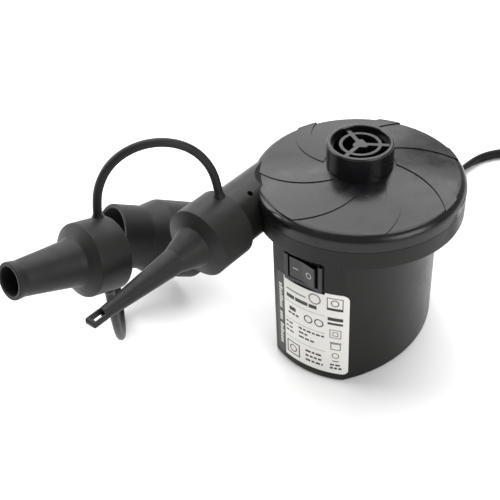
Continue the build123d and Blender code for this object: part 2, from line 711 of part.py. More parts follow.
def strain_relief():
    """Tapered moulded relief with a collar inside and outside the rear wall."""
    y = CORD_EXIT[1]
    bore = CORD_D / 2 + 0.02
    sleeve = turned(
        (bore, 0), (6.4, 0), (6.4, 2.2), (5.4, 3.0), (4.1, RELIEF_LENGTH), (bore, RELIEF_LENGTH),
    )
    sleeve += ring(5.0, bore, -3.2, 0.1) + ring(6.6, bore, -5.6, -3.1)
    for index in range(5):
        groove = ring(7, 3.9 - 0.12 * index, 7.0 + 4.8 * index, 8.6 + 4.8 * index)
        half_x, half_y = (7, 1.6) if index % 2 else (1.6, 7)
        sleeve -= groove & block((-half_x, half_x), (-half_y, half_y), (0, 40))
    return Pos(CORD_EXIT[0], y, CORD_EXIT[2]) * Rot(-90, 0, 0) * sleeve


def mains_cord():
    """The lead from the relief's mouth, down to the floor and along to the coil."""
    points = [Vector(*p) for p in CORD_ROUTE]
    tube, radii, length = round_sweep(points, CORD_D / 2)
    print("cord radii", [round(r, 1) for r in radii], "length", round(length, 1))
    print("cord volume over section x length", round(tube.volume / (pi * (CORD_D / 2) ** 2 * length), 4))
    return tube


def cord_coil():
    """Outer shape of the neat, tied coil of spare lead."""
    half = CORD_D * COIL_COLUMNS / 2
    coil = ring(COIL_TURN_R + half, COIL_TURN_R - half, 0.0, CORD_D * COIL_LAYERS)
    coil = fillet(coil.edges(), 2.0)
    return Pos(*COIL_CENTRE, 0) * coil


def coil_tail():
    """The lead's last stretch, from the top of the coil down to the plug."""
    tube, radii, length = round_sweep([Vector(*p) for p in TAIL_ROUTE], CORD_D / 2)
    print("tail radii", [round(r, 1) for r in radii], "length", round(length, 1))
    return tube


def coil_tie():
    """Flexible tie looped round the coil's turns."""
    half = CORD_D * COIL_COLUMNS / 2
    tall = CORD_D * COIL_LAYERS
    loop = block((COIL_TURN_R - half - 1.2, COIL_TURN_R + half + 1.2), (-4, 4), (0, tall + 1.2))
    loop -= block((COIL_TURN_R - half - 0.05, COIL_TURN_R + half + 0.05), (-5, 5), (1.2, tall + 0.05))
    loop = fillet(loop.edges().filter_by(Axis.Y), 0.5)
    return Pos(*COIL_CENTRE, 0) * Rot(0, 0, 215) * loop


def plug_body():
    """Moulded two-pin plug: flat tapered body and a short ribbed relief."""
    length, width, thick = PLUG_BODY
    back, front = RectangleRounded(width - 9, thick - 3.4, 3.5), RectangleRounded(width, thick, 4.5)
    body = loft([Pos(0, 0, PLUG_RELIEF) * back, Pos(0, 0, PLUG_RELIEF + 15) * front])
    body += Pos(0, 0, PLUG_RELIEF + 15) * extrude(front, length - 15)
    relief = turned((0, 0), (3.9, 0), (4.9, PLUG_RELIEF + 2), (0, PLUG_RELIEF + 2))
    for step in range(3):
        groove = ring(8, 3.7 + 0.15 * step, 2.6 + 4.2 * step, 4.2 + 4.2 * step)
        half_x, half_y = (8, 1.5) if step % 2 else (1.5, 8)
        relief -= groove & block((-half_x, half_x), (-half_y, half_y), (0, 20))
    whole = body + relief
    for x in (-PIN_SPACING / 2, PIN_SPACING / 2):
        whole -= rod(PIN_R, PLUG_RELIEF + length - 8, PLUG_RELIEF + length + 1, (x, 0))
    return Pos(*PLUG_END) * Rot(90, 0, 0) * whole


def plug_pins():
    """Two round pins with insulated roots, seated in the plug."""
    pins = []
    start = PLUG_RELIEF + PLUG_BODY[0]
    for x in (-PIN_SPACING / 2, PIN_SPACING / 2):
        pin = rod(PIN_R, start - 8, start + PIN_LENGTH, (x, 0))
        pin = fillet(pin.edges().group_by(Axis.Z)[-1], 1.2)
        pins.append(Pos(*PLUG_END) * Rot(90, 0, 0) * pin)
    return pins


def lead_wires():
    """Three insulated wires: live to the switch, switch to the board, neutral to the board."""
    routes = [
        [(-1.5, 42.9, 15), (-7, 37, 13), (-23, 27, 13), (-29, 9, 17), (-29, -9, 30), (-25, -20, 46),
         (-13, -25, 61), (-7, -25.9, 62.4)],
        [(7, -25.9, 62.4), (13, -25, 61), (25, -20, 46), (28, -9, 30), (24, -4, 20), (15.5, -3, 18.3),
         (8, -2.6, 18.25)],
        [(1.5, 42.9, 15), (3, 34, 16.2), (5, 24, 19.2), (5.4, 16, 18.6), (5, 10, 18.25)],
    ]
    wires = []
    for route in routes:
        wires.append(round_sweep([Vector(*p) for p in route], 0.9)[0])
    return wires


def export_all():
    """Write one STEP file for each node."""
    os.makedirs("parts", exist_ok=True)
    for name, shape in NODES.items():
        if isinstance(shape, (list, ShapeList)):
            shape = Compound(children=list(shape))
        export_step(shape, f"parts/{name}.step")


NODES["motor_housing"] = motor_housing()
NODES["top_cover"] = top_cover()
NODES["inlet_grille"] = inlet_grille()
NODES["outlet_spout"] = outlet_spout()
NODES["volute_floor"] = volute_floor()
NODES["cover_screws"] = cover_screws()
NODES["motor_screws"] = motor_screws()
NODES["switch_frame"] = switch_frame()
NODES["rocker"] = rocker()
NODES["switch_terminals"] = switch_terminals()
NODES["rating_label"] = rating_label()
NODES["motor_can"] = motor_can()
NODES["magnets"] = magnets()
NODES["motor_end_cap"] = motor_end_cap()
NODES["upper_bearing"] = bearing(CAN_TOP - 4.0, CAN_TOP - 0.6)
NODES["lower_bearing"] = bearing(CAN_BOTTOM - 3.6, CAN_BOTTOM + 0.6)
NODES["shaft"] = shaft()
NODES["armature_core"] = armature_core()
NODES["armature_windings"] = armature_windings()
NODES["commutator"] = commutator()
NODES["carbon_brushes"] = carbon_brushes()
NODES["brush_arms"] = brush_arms()
NODES["rectifier_board"] = rectifier_board()
NODES["rectifier_diodes"] = rectifier_diodes()
NODES["damper_ring"] = damper_ring()
NODES["impeller"] = impeller()
NODES["impeller_bush"] = impeller_bush()
NODES["nozzle_narrow"] = nozzle_narrow()
NODES["nozzle_medium"] = nozzle_medium()
NODES["nozzle_large"] = nozzle_large()
NODES["strap_front"] = strap_front()
NODES["strap_rear"] = strap_rear()
NODES["strain_relief"] = strain_relief()
NODES["mains_cord"] = mains_cord()
NODES["cord_coil"] = cord_coil()
NODES["coil_tail"] = coil_tail()
NODES["coil_tie"] = coil_tie()
NODES["plug_body"] = plug_body()
NODES["plug_pins"] = plug_pins()
NODES["lead_wires"] = lead_wires()
export_all()
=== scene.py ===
import bmesh
import bpy
import json
from math import atan2, cos, exp, pi, radians, sin, sqrt
from mathutils import Matrix, Vector
import random


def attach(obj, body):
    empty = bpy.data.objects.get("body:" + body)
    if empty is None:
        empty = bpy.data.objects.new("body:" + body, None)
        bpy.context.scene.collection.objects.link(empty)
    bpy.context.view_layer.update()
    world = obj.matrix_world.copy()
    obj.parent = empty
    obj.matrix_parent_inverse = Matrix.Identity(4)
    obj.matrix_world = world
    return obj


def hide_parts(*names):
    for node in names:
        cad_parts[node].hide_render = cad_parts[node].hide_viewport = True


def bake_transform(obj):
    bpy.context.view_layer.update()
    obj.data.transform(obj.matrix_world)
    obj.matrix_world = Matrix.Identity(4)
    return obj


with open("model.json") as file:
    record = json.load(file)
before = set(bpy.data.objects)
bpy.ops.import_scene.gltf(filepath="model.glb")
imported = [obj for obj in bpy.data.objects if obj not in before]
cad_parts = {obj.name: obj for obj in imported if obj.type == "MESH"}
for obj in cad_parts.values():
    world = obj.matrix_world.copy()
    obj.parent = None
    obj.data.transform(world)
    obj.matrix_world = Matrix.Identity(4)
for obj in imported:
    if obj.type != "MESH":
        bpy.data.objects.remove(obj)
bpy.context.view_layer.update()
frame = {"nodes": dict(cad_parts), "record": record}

MM = 0.001

# Lengths below are in millimetres unless a name says otherwise; meshes are made in metres.

# --- Housing's round front: label, print and switch ---
LABEL_R = 48.65
PRINT_SINK = 0.01              # print starts this far inside its surface
PRINT_STRIP = 1.5              # print is cut into strips this wide, to follow the round front
PRINT_LOW, PRINT_HIGH = -20.0, 26.0
PRINT_SEED = 7
PRINT_LIFT, OVERPRINT_LIFT = 0.05, 0.08
RING_STEPS = 28
RULE = 0.22                    # width of a thin printed line
WORD_LENGTHS, WORD_GAP, LEAST_WORD = (1.4, 3.2), 0.7, 0.6
BAND_U, BAND_TEXT_U = (-18.45, -12.3), -16.3
LETTER_HEIGHTS, LETTER_TALLS, LETTER_GAP = (1.1, 1.7), (2.1, 2.1, 2.8), 0.55
ROCKER_FACE_Y = -48.5          # its ends, when level
ROCKER_DISH = 0.6
ROCKER_HALF_W = 8.0
ROCKER_PIVOT_Y = -44.8
ROCKER_TILT = radians(6.0)
SWITCH_Z = 66.6

# --- Nozzles: the open rim's centre and the direction that each points ---
SPOUT_X, SPOUT_Z = -37.7, 84.5
SPOUT_YAW = 1.34
NARROW_RIM = 56.4
MEDIUM_RIM = Vector((-68.3, -104.0, 84.8))
MEDIUM_AIM = (7.6, 15.3)
LARGE_RIM = Vector((-115.9, -62.6, 46.3))
LARGE_AIM = (202.5, -25.7)
SKIRT_R = 17.15
SKIRT_BORE_R = 14.78
MOUTH_R, MOUTH_BORE_R = 21.3, 19.1
STRAP_R = 2.05
STRAP_SIDES, STRAP_STEPS = 28, 10      # round a strap, and along it for each control point
FRONT_STRAP_RISE, REAR_STRAP_DROP = 35.0, -42.0
ROOT_SINK = 0.8
ROOT_UPRIGHT = 4.0
ROOT_FLARE, FLARE_REACH = 0.5, 1.8     # how much wider a root is, as a share, and how far up that reaches
BOW_PARTS = 8
BOW_FULLNESS = 0.8

# --- Mains lead, a flat twin one ---
LEAD_WIDTH, LEAD_THICKNESS = 6.0, 3.8
COIL_CENTRE = Vector((55.0, 175.0, 0.0))
CORD_ROUTE = [
    (0.0, 80.6, 15.0),
    (-1.0, 97.0, 13.4),
    (-5.0, 113.0, 9.6),
    (-11.5, 129.0, 6.2),
    (-18.0, 146.0, 4.3),
    (-20.0, 163.0, 3.2),
    (-15.5, 180.0, 3.2),
    (-5.0, 194.5, 3.2),
    (10.0, 204.5, 3.2),
    (29.0, 208.5, 3.2),
    (48.0, 208.8, 3.2),
]
TAIL_ROUTE = [
    (88.8, 172.0, 15.0),
    (89.4, 162.0, 14.3),
    (89.8, 150.5, 10.9),
    (90.0, 138.5, 7.8),
    (90.0, 129.0, 7.2),
]


def aim(yaw, pitch=0.0):
    """A direction: yaw from -Y towards -X, then pitch above the horizontal, in degrees."""
    flat = cos(radians(pitch))
    return Vector((-sin(radians(yaw)) * flat, -cos(radians(yaw)) * flat, sin(radians(pitch))))


def frame_along(origin, direction):
    """A placing matrix in millimetres whose z runs along a direction and whose y points up."""
    across = Vector((0, 0, 1)).cross(direction).normalized()
    up = direction.cross(across)
    placed = Matrix((across, up, direction)).transposed().to_4x4()
    return Matrix.Translation(origin) @ placed


SPOUT_DIR = aim(SPOUT_YAW)
NARROW_FRAME = frame_along(Vector((SPOUT_X, 0, SPOUT_Z)) + SPOUT_DIR * NARROW_RIM, SPOUT_DIR)
MEDIUM_FRAME = frame_along(MEDIUM_RIM, aim(*MEDIUM_AIM))
LARGE_FRAME = frame_along(LARGE_RIM, aim(*LARGE_AIM))


# ---------------------------------------------------------------- materials

NOISE_LOW, NOISE_HIGH = 0.3, 0.7       # nearly all of a noise texture's values lie between these
GRAIN_STRENGTH = 0.35
SMEAR_SCALE = 2.6              # smears are finer than the clouds of colour by this factor


def new_material(name):
    """A node material, its node tree and its principled shader."""
    material = bpy.data.materials.new(name)
    material.use_nodes = True
    tree = material.node_tree
    shader = tree.nodes["Principled BSDF"]
    return material, tree, shader


def noise(tree, scale, detail, roughness=0.5):
    """Noise in the object's own coordinates, per metre."""
    place = tree.nodes.new("ShaderNodeTexCoord")
    texture = tree.nodes.new("ShaderNodeTexNoise")
    texture.inputs["Scale"].default_value = scale
    texture.inputs["Detail"].default_value = detail
    texture.inputs["Roughness"].default_value = roughness
    tree.links.new(place.outputs["Object"], texture.inputs["Vector"])
    return texture.outputs["Fac"]


def ranged(tree, value, low, high):
    """A noise value spread between two limits."""
    spread = tree.nodes.new("ShaderNodeMapRange")
    spread.inputs["From Min"].default_value = NOISE_LOW
    spread.inputs["From Max"].default_value = NOISE_HIGH
    spread.inputs["To Min"].default_value = low
    spread.inputs["To Max"].default_value = high
    tree.links.new(value, spread.inputs["Value"])
    return spread.outputs["Result"]


def mixed(tree, value, colour_a, colour_b):
    """A colour between two, by a value."""
    mix = tree.nodes.new("ShaderNodeMix")
    mix.data_type = "RGBA"
    mix.inputs["A"].default_value = (*colour_a, 1)
    mix.inputs["B"].default_value = (*colour_b, 1)
    tree.links.new(value, mix.inputs["Factor"])
    return mix.outputs["Result"]


def bumped(tree, shader, height, depth):
    """A bump of a depth in metres."""
    bump = tree.nodes.new("ShaderNodeBump")
    bump.inputs["Strength"].default_value = GRAIN_STRENGTH
    bump.inputs["Distance"].default_value = depth
    tree.links.new(height, bump.inputs["Height"])
    tree.links.new(bump.outputs["Normal"], shader.inputs["Normal"])


def moulded(name, colour, rough, grain=2600, depth=0.00002, vary=0.12,
            gloss=0.5, metal=0.0, scale=45, smear=0.13):
    """A moulded or cast surface.

    Its colour is cloudy by the share vary at the scale given, its roughness is uneven by the share smear,
    and it has a fine grain, whose scale is per metre and whose depth is in metres.
    """
    material, tree, shader = new_material(name)
    clouds = noise(tree, scale, 4.0, 0.6)
    light = [c * (1 + vary) for c in colour]
    dark = [c * (1 - vary) for c in colour]
    tone = mixed(tree, ranged(tree, clouds, 0.0, 1.0), dark, light)
    tree.links.new(tone, shader.inputs["Base Color"])
    smears = noise(tree, scale * SMEAR_SCALE, 5.0, 0.65)
    sheen = ranged(tree, smears, rough * (1 - smear), rough * (1 + smear))
    tree.links.new(sheen, shader.inputs["Roughness"])
    bumped(tree, shader, noise(tree, grain, 2.0), depth)
    shader.inputs["Specular IOR Level"].default_value = gloss
    shader.inputs["Metallic"].default_value = metal
    return material


def bare_metal(name, colour, rough, grain=2500, depth=0.00001, vary=0.1):
    """A bare metal surface."""
    return moulded(name, colour, rough, grain, depth, vary, metal=1.0)


def soft_pvc():
    """Soft matte PVC: a dusty bloom over dark grey, with a faint sheen."""
    material = moulded("nozzle_pvc", (0.0090, 0.0088, 0.0083), 0.50, 1900, 0.00003, 0.14,
                       gloss=0.25, scale=60)
    shader = material.node_tree.nodes["Principled BSDF"]
    shader.inputs["Sheen Weight"].default_value = 0.03
    shader.inputs["Sheen Roughness"].default_value = 0.5
    return material


MATERIALS = {
    "housing_plastic": moulded("housing_plastic", (0.0066, 0.0064, 0.0057), 0.34, 3000, 0.000004,
                               gloss=0.22),
    "cover_plastic": moulded("cover_plastic", (0.0056, 0.0056, 0.0066), 0.24, 3000, 0.000002, 0.2,
                             gloss=0.34, scale=30, smear=0.45),
    "nozzle_pvc": soft_pvc(),
    "inner_plastic": moulded("inner_plastic", (0.05, 0.05, 0.055), 0.5),
    "impeller_plastic": moulded("impeller_plastic", (0.06, 0.06, 0.065), 0.45),
    "switch_plastic": moulded("switch_plastic", (0.0072, 0.0076, 0.0092), 0.36, 3500),
    "label_film": moulded("label_film", (0.73, 0.72, 0.68), 0.42, 1200, 0.00001, 0.03),
    "cord_pvc": moulded("cord_pvc", (0.0055, 0.0055, 0.0052), 0.45, 1500, 0.00001, 0.15, gloss=0.18),
    "rubber_black": moulded("rubber_black", (0.025, 0.025, 0.025), 0.7, 1500, 0.00003),
    "tie_black": moulded("tie_black", (0.02, 0.02, 0.02), 0.5, 1500, 0.00003),
    "diode_black": moulded("diode_black", (0.02, 0.02, 0.02), 0.45),
    "carbon": moulded("carbon", (0.03, 0.03, 0.032), 0.75, 4000, 0.00004),
    "ferrite": moulded("ferrite", (0.09, 0.09, 0.10), 0.6, 3000, 0.00004),
    "board": moulded("board", (0.40, 0.25, 0.09), 0.5, 2500, vary=0.2),
    "wire_insulation": moulded("wire_insulation", (0.22, 0.06, 0.03), 0.45, 1500),
    "zinc_steel": bare_metal("zinc_steel", (0.60, 0.60, 0.62), 0.32, vary=0.08),
    "can_steel": bare_metal("can_steel", (0.52, 0.52, 0.53), 0.34, 1800, vary=0.08),
    "ground_steel": bare_metal("ground_steel", (0.65, 0.65, 0.67), 0.22, 3500, vary=0.05),
    "laminations": bare_metal("laminations", (0.30, 0.30, 0.31), 0.5, 3500, 0.00004, 0.2),
    "bronze": bare_metal("bronze", (0.50, 0.33, 0.15), 0.45, 4000, 0.00004, 0.2),
    "brass": bare_metal("brass", (0.70, 0.52, 0.22), 0.3),
    "copper": bare_metal("copper", (0.72, 0.33, 0.16), 0.32, 2500, 0.00002, 0.15),
    "pin_metal": bare_metal("pin_metal", (0.72, 0.71, 0.68), 0.2, 2500, 0.000005, 0.05),
}
INKS = {
    "black_ink": moulded("black_ink", (0.018, 0.018, 0.018), 0.5, 2500, 0.000004),
    "grey_ink": moulded("grey_ink", (0.20, 0.19, 0.20), 0.5, 2500, 0.000004),
    "white_ink": moulded("white_ink", (0.62, 0.62, 0.60), 0.5, 2500, 0.000004, 0.05),
    "band_film": moulded("band_film", (0.014, 0.014, 0.014), 0.34, 2500, 0.000004),
}


def dress_frame():
    """Every CAD node takes the material of its slot."""
    for row in frame["record"]["subparts"]:
        node = frame["nodes"][row["node"]]
        node.data.materials.clear()
        node.data.materials.append(MATERIALS[row["material_slot"]])


dress_frame()


# ---------------------------------------------------------------- mesh tools

CORNER_STEPS = 4
CORNER_SHARE = 0.45            # a rounded corner takes at most this share of each side
LATHE_STEPS = 112
NEARLY_UPRIGHT = 0.9           # a path that starts steeper than this is turned from x, not from z


def add_piece(name, mesh, material):
    """A mesh object in the scene, in one material."""
    mesh.materials.append(material)
    piece = bpy.data.objects.new(name, mesh)
    bpy.context.scene.collection.objects.link(piece)
    return piece


def add_solid(name, points, faces, material):
    """A smooth closed mesh object from points in millimetres, its faces turned outwards."""
    mesh = bpy.data.meshes.new(name)
    mesh.from_pydata([Vector(p) * MM for p in points], [], faces)
    mesh.validate()
    for polygon in mesh.polygons:
        polygon.use_smooth = True
    bm = bmesh.new()
    bm.from_mesh(mesh)
    bmesh.ops.recalc_face_normals(bm, faces=bm.faces)
    bm.to_mesh(mesh)
    bm.free()
    return add_piece(name, mesh, material)


def weighted(piece):
    """Shading that keeps flats flat beside small rounds."""
    modifier = piece.modifiers.new("weighted", "WEIGHTED_NORMAL")
    modifier.keep_sharp = True
    modifier.weight = 100


def softened(outline, radius):
    """A closed outline with each corner replaced by a short arc, the radius limited by its sides."""
    result = []
    count = len(outline)
    for index, corner in enumerate(outline):
        before, after = Vector(outline[index - 1]), Vector(outline[(index + 1) % count])
        here = Vector(corner)
        back, ahead = before - here, after - here
        reach = min(radius, back.length * CORNER_SHARE, ahead.length * CORNER_SHARE)
        start, end = here + back.normalized() * reach, here + ahead.normalized() * reach
        for step in range(CORNER_STEPS + 1):
            t = step / CORNER_STEPS
            result.append(start * (1 - t) ** 2 + here * 2 * t * (1 - t) + end * t ** 2)
    return result


def lathe(name, outline, place, material, radius):
    """A closed surface of revolution about local z from (radius, height) points, its corners rounded."""
    profile = softened(outline, radius)
    points, faces = [], []
    count = len(profile)
    for step in range(LATHE_STEPS):
        angle = 2 * pi * step / LATHE_STEPS
        for r, z in profile:
            points.append(place @ Vector((r * cos(angle), r * sin(angle), z)))
        ahead = (step + 1) % LATHE_STEPS
        for index in range(count):
            following = (index + 1) % count
            faces.append((step * count + index, step * count + following,
                          ahead * count + following, ahead * count + index))
    piece = add_solid(name, points, faces, material)
    weighted(piece)
    return piece


def nurbs_points(name, points, resolution):
    """Points along a smooth NURBS line whose control points are given in millimetres."""
    curve = bpy.data.curves.new(name, "CURVE")
    curve.dimensions = "3D"
    spline = curve.splines.new("NURBS")
    spline.points.add(len(points) - 1)
    for point, place in zip(spline.points, points):
        point.co = (*(Vector(place) * MM), 1)
    spline.order_u = 3
    spline.use_endpoint_u = True
    spline.resolution_u = resolution
    line = bpy.data.objects.new(name, curve)
    bpy.context.scene.collection.objects.link(line)
    bpy.context.view_layer.update()
    mesh = bpy.data.meshes.new_from_object(line)
    along = [vertex.co / MM for vertex in mesh.vertices]
    bpy.data.objects.remove(line)
    bpy.data.meshes.remove(mesh)
    return along


def swept(name, path, section, material, widths=None, facing=None):
    """A capped tube along a path: a section of (across, up) points, scaled and turned along the way."""
    points, faces = [], []
    count = len(section)
    total = len(path)
    tangents = []
    for index in range(total):
        ahead, behind = path[min(index + 1, total - 1)], path[max(index - 1, 0)]
        tangents.append((ahead - behind).normalized())
    up = Vector((0, 0, 1))
    if abs(tangents[0].z) > NEARLY_UPRIGHT:
        up = Vector((1, 0, 0))
    across = tangents[0].cross(up).normalized()
    for index, (place, tangent) in enumerate(zip(path, tangents)):
        if facing:
            across = facing(index, tangent)
        across = (across - tangent * across.dot(tangent)).normalized()
        lift = across.cross(tangent)
        scale = widths[index] if widths else 1.0
        for a, b in section:
            points.append(place + (across * a + lift * b) * scale)
    for index in range(total - 1):
        low, high = index * count, (index + 1) * count
        for side in range(count):
            following = (side + 1) % count
            faces.append((low + side, low + following, high + following, high + side))
    faces.append(tuple(reversed(range(count))))
    faces.append(tuple(range((total - 1) * count, total * count)))
    return add_solid(name, points, faces, material)


def circle(radius, count):
    """A round section."""
    return [(radius * cos(2 * pi * i / count), radius * sin(2 * pi * i / count)) for i in range(count)]


# ---------------------------------------------------------------- camera

CAMERA_AT = Vector((0.2030, -0.3233, 0.3563))
CAMERA_AZIMUTH, CAMERA_ELEVATION = radians(34.90), radians(40.72)
CAMERA_LENS = 67.86
CAMERA_SHIFT = (-0.1431, 0.0595)
SENSOR_WIDTH = 36


def add_camera():
    """The camera, upright, at the place and angle of the reference view."""
    flat = cos(CAMERA_ELEVATION)
    back = Vector((sin(CAMERA_AZIMUTH) * flat, -cos(CAMERA_AZIMUTH) * flat, sin(CAMERA_ELEVATION)))
    data = bpy.data.cameras.new("camera")
    data.sensor_width = SENSOR_WIDTH
    data.lens = CAMERA_LENS
    data.shift_x, data.shift_y = CAMERA_SHIFT
    camera = bpy.data.objects.new("camera", data)
    camera.location = CAMERA_AT
    camera.rotation_mode = "QUATERNION"
    camera.rotation_quaternion = (-back).to_track_quat("-Z", "Y")
    bpy.context.scene.collection.objects.link(camera)
    bpy.context.scene.camera = camera


add_camera()


# ---------------------------------------------------------------- mains lead

COIL_SLOTS = [(34.0, 3.0), (28.0, 3.0), (28.0, 9.0), (34.0, 9.0), (28.0, 15.0), (34.0, 15.0)]
COIL_TURNS = 5.25
TURN_POINTS = 16
SHIFT_TURNS = 0.12         # share of a turn that a change of place takes
SHIFT_LEAD = 0.1           # each later change comes this share of a turn sooner
JUST_BEFORE = 1e-6         # a whole turn still counts as the turn that it ends


def eased(t):
    """A smooth step from 0 to 1."""
    t = min(max(t, 0.0), 1.0)
    return t * t * (3 - 2 * t)


def coil_place(turns):
    """Radius and height after a number of turns of the coil."""
    index = min(int(turns), len(COIL_SLOTS) - 1)
    radius, height = COIL_SLOTS[index]
    if index < len(COIL_SLOTS) - 1:
        start = index + 1 - SHIFT_TURNS - SHIFT_LEAD * index
        share = eased((turns - start) / SHIFT_TURNS)
        radius += (COIL_SLOTS[index + 1][0] - radius) * share
        height += (COIL_SLOTS[index + 1][1] - height) * share
    return radius, height


def coil_route():
    """The coil's turns, clockwise from above, from its far side to its right side."""
    points = []
    outside = 1 / cos(pi / TURN_POINTS)    # control points stand this much further out than the line
    for step in range(1, int(COIL_TURNS * TURN_POINTS)):
        turns = step / TURN_POINTS
        radius, height = coil_place(turns - JUST_BEFORE)
        angle = pi / 2 - 2 * pi * turns
        reach = radius * outside
        points.append(COIL_CENTRE + Vector((cos(angle) * reach, sin(angle) * reach, height)))
    return points


LEAD_STEPS = 6             # points along the lead for each control point
CORE_STEPS = 12
CORE_ARC = 0.985           # share of a core's round that is drawn: the rest is the groove


def twin_section():
    """Two round cores side by side, with a groove between them."""
    radius = LEAD_THICKNESS / 2
    offset = LEAD_WIDTH / 2 - radius
    waist = CORE_ARC * atan2(sqrt(radius ** 2 - offset ** 2), -offset)
    section = []
    for side in (1, -1):
        for step in range(CORE_STEPS + 1):
            angle = waist * (1 - 2 * step / CORE_STEPS)
            section.append((side * (offset + radius * cos(angle)), side * radius * sin(angle)))
    return section


# Degrees from flat, at distances from the lead's start and before its end.
LEAD_TWIST = [(0.0, 0.0), (55.0, 20.0), (86.0, 54.0), (112.0, 124.0), (150.0, 90.0), (190.0, 90.0)]
TAIL_TWIST = [(80.0, 90.0), (12.0, 0.0), (-1.0, 0.0)]


def lead_facing(path):
    """How the flat lead is turned along its way, as the direction of its width."""
    reached = [0.0]
    for a, b in zip(path, path[1:]):
        reached.append(reached[-1] + (b - a).length)
    total = reached[-1]
    stations = LEAD_TWIST + [(total - before, degrees) for before, degrees in TAIL_TWIST]

    def facing(index, tangent):
        here = reached[index]
        degrees = stations[-1][1]
        for (a, turn_a), (b, turn_b) in zip(stations, stations[1:]):
            if a <= here <= b:
                degrees = turn_a + (turn_b - turn_a) * eased((here - a) / (b - a))
                break
        side = tangent.cross(Vector((0, 0, 1))).normalized()
        return side * cos(radians(degrees)) + side.cross(tangent) * sin(radians(degrees))

    return facing


def mains_lead():
    """The whole lead: out of the relief, round the coil and along to the plug."""
    route = [Vector(p) for p in CORD_ROUTE] + coil_route() + [Vector(p) for p in TAIL_ROUTE]
    path = nurbs_points("lead_line", route, LEAD_STEPS)
    piece = swept("mains_lead", path, twin_section(), MATERIALS["cord_pvc"], facing=lead_facing(path))
    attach(piece, "pump")
    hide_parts("mains_cord", "cord_coil", "coil_tail")


mains_lead()


# ---------------------------------------------------------------- nozzles and straps

def nozzle_piece(name, outline, radius, place, node, body):
    """A turned PVC nozzle, its corners rounded, that stands for its CAD node."""
    piece = lathe(name, outline, place, MATERIALS["nozzle_pvc"], radius)
    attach(piece, body)
    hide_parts(node)


def medium_nozzle():
    """Skirt, chamfered shoulder, and a tube with two tapers and a lip."""
    outside = [(SKIRT_R, 0), (SKIRT_R, 16.5), (11.4, 19.6), (10.7, 22.5), (9.4, 34.0), (8.0, 47.2),
               (8.45, 50.2), (8.45, 51.8)]
    inside = [(6.5, 51.8), (7.6, 34.0), (8.8, 22.5), (9.4, 18.2), (SKIRT_BORE_R, 15.4), (SKIRT_BORE_R, 0)]
    nozzle_piece("medium_nozzle_skin", outside + inside, 0.8, MEDIUM_FRAME,
                 "nozzle_medium", "medium_nozzle")


def large_nozzle():
    """Skirt that flares to a wide mouth."""
    outside = [(SKIRT_R, 0), (SKIRT_R, 17.0), (MOUTH_R, 26.5), (MOUTH_R, 50.6)]
    inside = [(MOUTH_BORE_R, 50.6), (MOUTH_BORE_R, 27.0), (SKIRT_BORE_R, 17.6), (SKIRT_BORE_R, 0)]
    nozzle_piece("large_nozzle_skin", outside + inside, 1.0, LARGE_FRAME,
                 "nozzle_large", "large_nozzle")


def on_skirt(place, station, angle):
    """A strap's root, just inside a skirt: distance from the rim, and degrees from the top."""
    radius = SKIRT_R - ROOT_SINK
    return place @ Vector((radius * sin(radians(angle)), radius * cos(radians(angle)), station))


def bowed(start, end, rise):
    """Points of a bow between two places: upright at its roots, round at its crown."""
    lift = Vector((0, 0, rise))
    foot = Vector((0, 0, ROOT_UPRIGHT if rise > 0 else -ROOT_UPRIGHT))
    points = [start, start + foot]
    for part in range(1, BOW_PARTS):
        turn = pi * part / BOW_PARTS
        share = (1 - cos(turn)) / 2
        points.append(start * (1 - share) + end * share + lift * sin(turn) ** BOW_FULLNESS)
    return points + [end + foot, end]


def strap(name, start, end, rise, node):
    """A moulded strap whose roots flare into the nozzles, bending between the two."""
    path = nurbs_points(name + "_line", bowed(start, end, rise), STRAP_STEPS)
    reached = [0.0]
    for a, b in zip(path, path[1:]):
        reached.append(reached[-1] + (b - a).length)
    total = reached[-1]
    widths = []
    for here in reached:
        near_roots = exp(-(here / FLARE_REACH) ** 2) + exp(-((total - here) / FLARE_REACH) ** 2)
        widths.append(1.0 + ROOT_FLARE * near_roots)
    piece = swept(name, path, circle(STRAP_R, STRAP_SIDES), MATERIALS["nozzle_pvc"], widths)
    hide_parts(node)
    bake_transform(piece)


medium_nozzle()
large_nozzle()
strap("front_strap_skin", on_skirt(NARROW_FRAME, 2.6, 0), on_skirt(MEDIUM_FRAME, 3.2, -20),
      FRONT_STRAP_RISE, "strap_front")
strap("rear_strap_skin", on_skirt(MEDIUM_FRAME, 3.5, 160), on_skirt(LARGE_FRAME, 6.0, 180),
      REAR_STRAP_DROP, "strap_rear")


# ---------------------------------------------------------------- label and marks

def thin_print(name, shapes, material, lift, body, placed, cuts=()):
    """Thin raised print from flat outlines of (across, height), which placed puts where it belongs."""
    bm = bmesh.new()
    for outline in shapes:
        bm.faces.new([bm.verts.new((u, 0, z)) for u, z in outline])
    for cut in cuts:
        geometry = bm.verts[:] + bm.edges[:] + bm.faces[:]
        bmesh.ops.bisect_plane(bm, geom=geometry, plane_co=(cut, 0, 0), plane_no=(1, 0, 0))
    sheet = bmesh.ops.extrude_face_region(bm, geom=bm.faces[:])
    for vertex in [v for v in sheet["geom"] if isinstance(v, bmesh.types.BMVert)]:
        vertex.co.y = lift
    for vertex in bm.verts:
        u, height, z = vertex.co
        vertex.co = placed(u, z, height) * MM
    bmesh.ops.recalc_face_normals(bm, faces=bm.faces)
    mesh = bpy.data.meshes.new(name)
    bm.to_mesh(mesh)
    bm.free()
    piece = add_piece(name, mesh, material)
    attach(piece, body)


def on_label(u, z, height):
    """A point over the label: arc length from the front's middle, height above the base, and lift."""
    angle = u / LABEL_R
    radius = LABEL_R - PRINT_SINK + height
    return Vector((radius * sin(angle), -radius * cos(angle), z))


